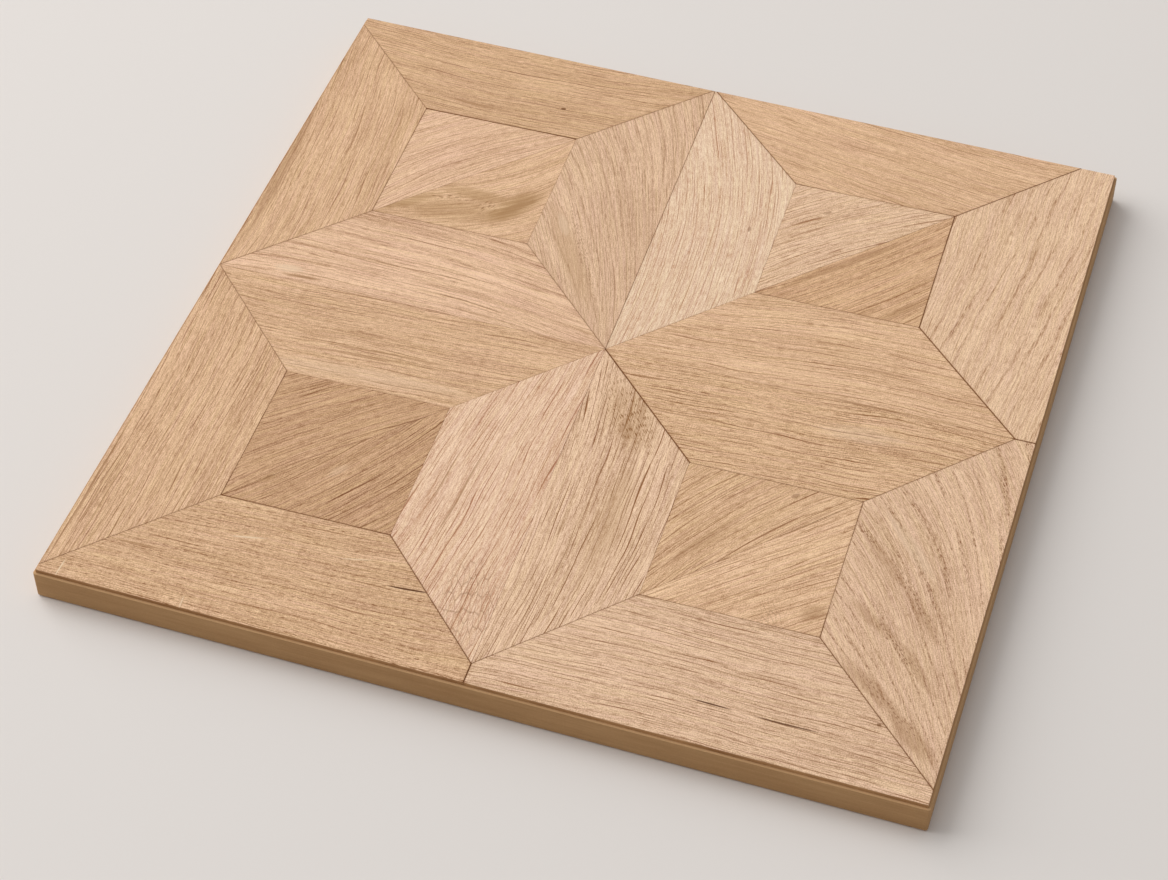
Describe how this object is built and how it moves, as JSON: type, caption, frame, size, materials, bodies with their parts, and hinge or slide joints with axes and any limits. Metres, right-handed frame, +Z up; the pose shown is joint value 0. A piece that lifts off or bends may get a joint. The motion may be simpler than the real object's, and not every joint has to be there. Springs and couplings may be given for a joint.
{
  "type": "parquet block",
  "caption": "Square flooring block: a brown board core faced with mitred oak frames that meet in a four-petalled star, with diagonally cut square inserts.",
  "frame": {"origin": "middle of the underside", "axes": "+Z up out of the oak face, +Y to the back edge and +X to the right edge as the picture shows the block"},
  "size_m": [0.4, 0.4, 0.017],
  "materials": {
    "core": "raw board, matt",
    "oak_border": "clear matt oil on oak",
    "oak_petal": "clear matt oil on oak",
    "oak_insert": "clear matt oil on oak"
  },
  "bodies": {
    "root": {"core_board": "core", "border_back_left": "oak_border", "border_back_right": "oak_border", "border_left_back": "oak_border", "border_left_front": "oak_border", "border_front_left": "oak_border", "border_front_right": "oak_border", "border_right_back": "oak_border", "border_right_front": "oak_border", "petal_back_left_half": "oak_petal", "petal_back_right_half": "oak_petal", "petal_left_back_half": "oak_petal", "petal_left_front_half": "oak_petal", "petal_front_left_half": "oak_petal", "petal_front_right_half": "oak_petal", "petal_right_back_half": "oak_petal", "petal_right_front_half": "oak_petal", "insert_back_left_rear_half": "oak_insert", "insert_back_left_fore_half": "oak_insert", "insert_back_right_rear_half": "oak_insert", "insert_back_right_fore_half": "oak_insert", "insert_front_left_rear_half": "oak_insert", "insert_front_left_fore_half": "oak_insert", "insert_front_right_rear_half": "oak_insert", "insert_front_right_fore_half": "oak_insert"}
  },
  "joints": []
}
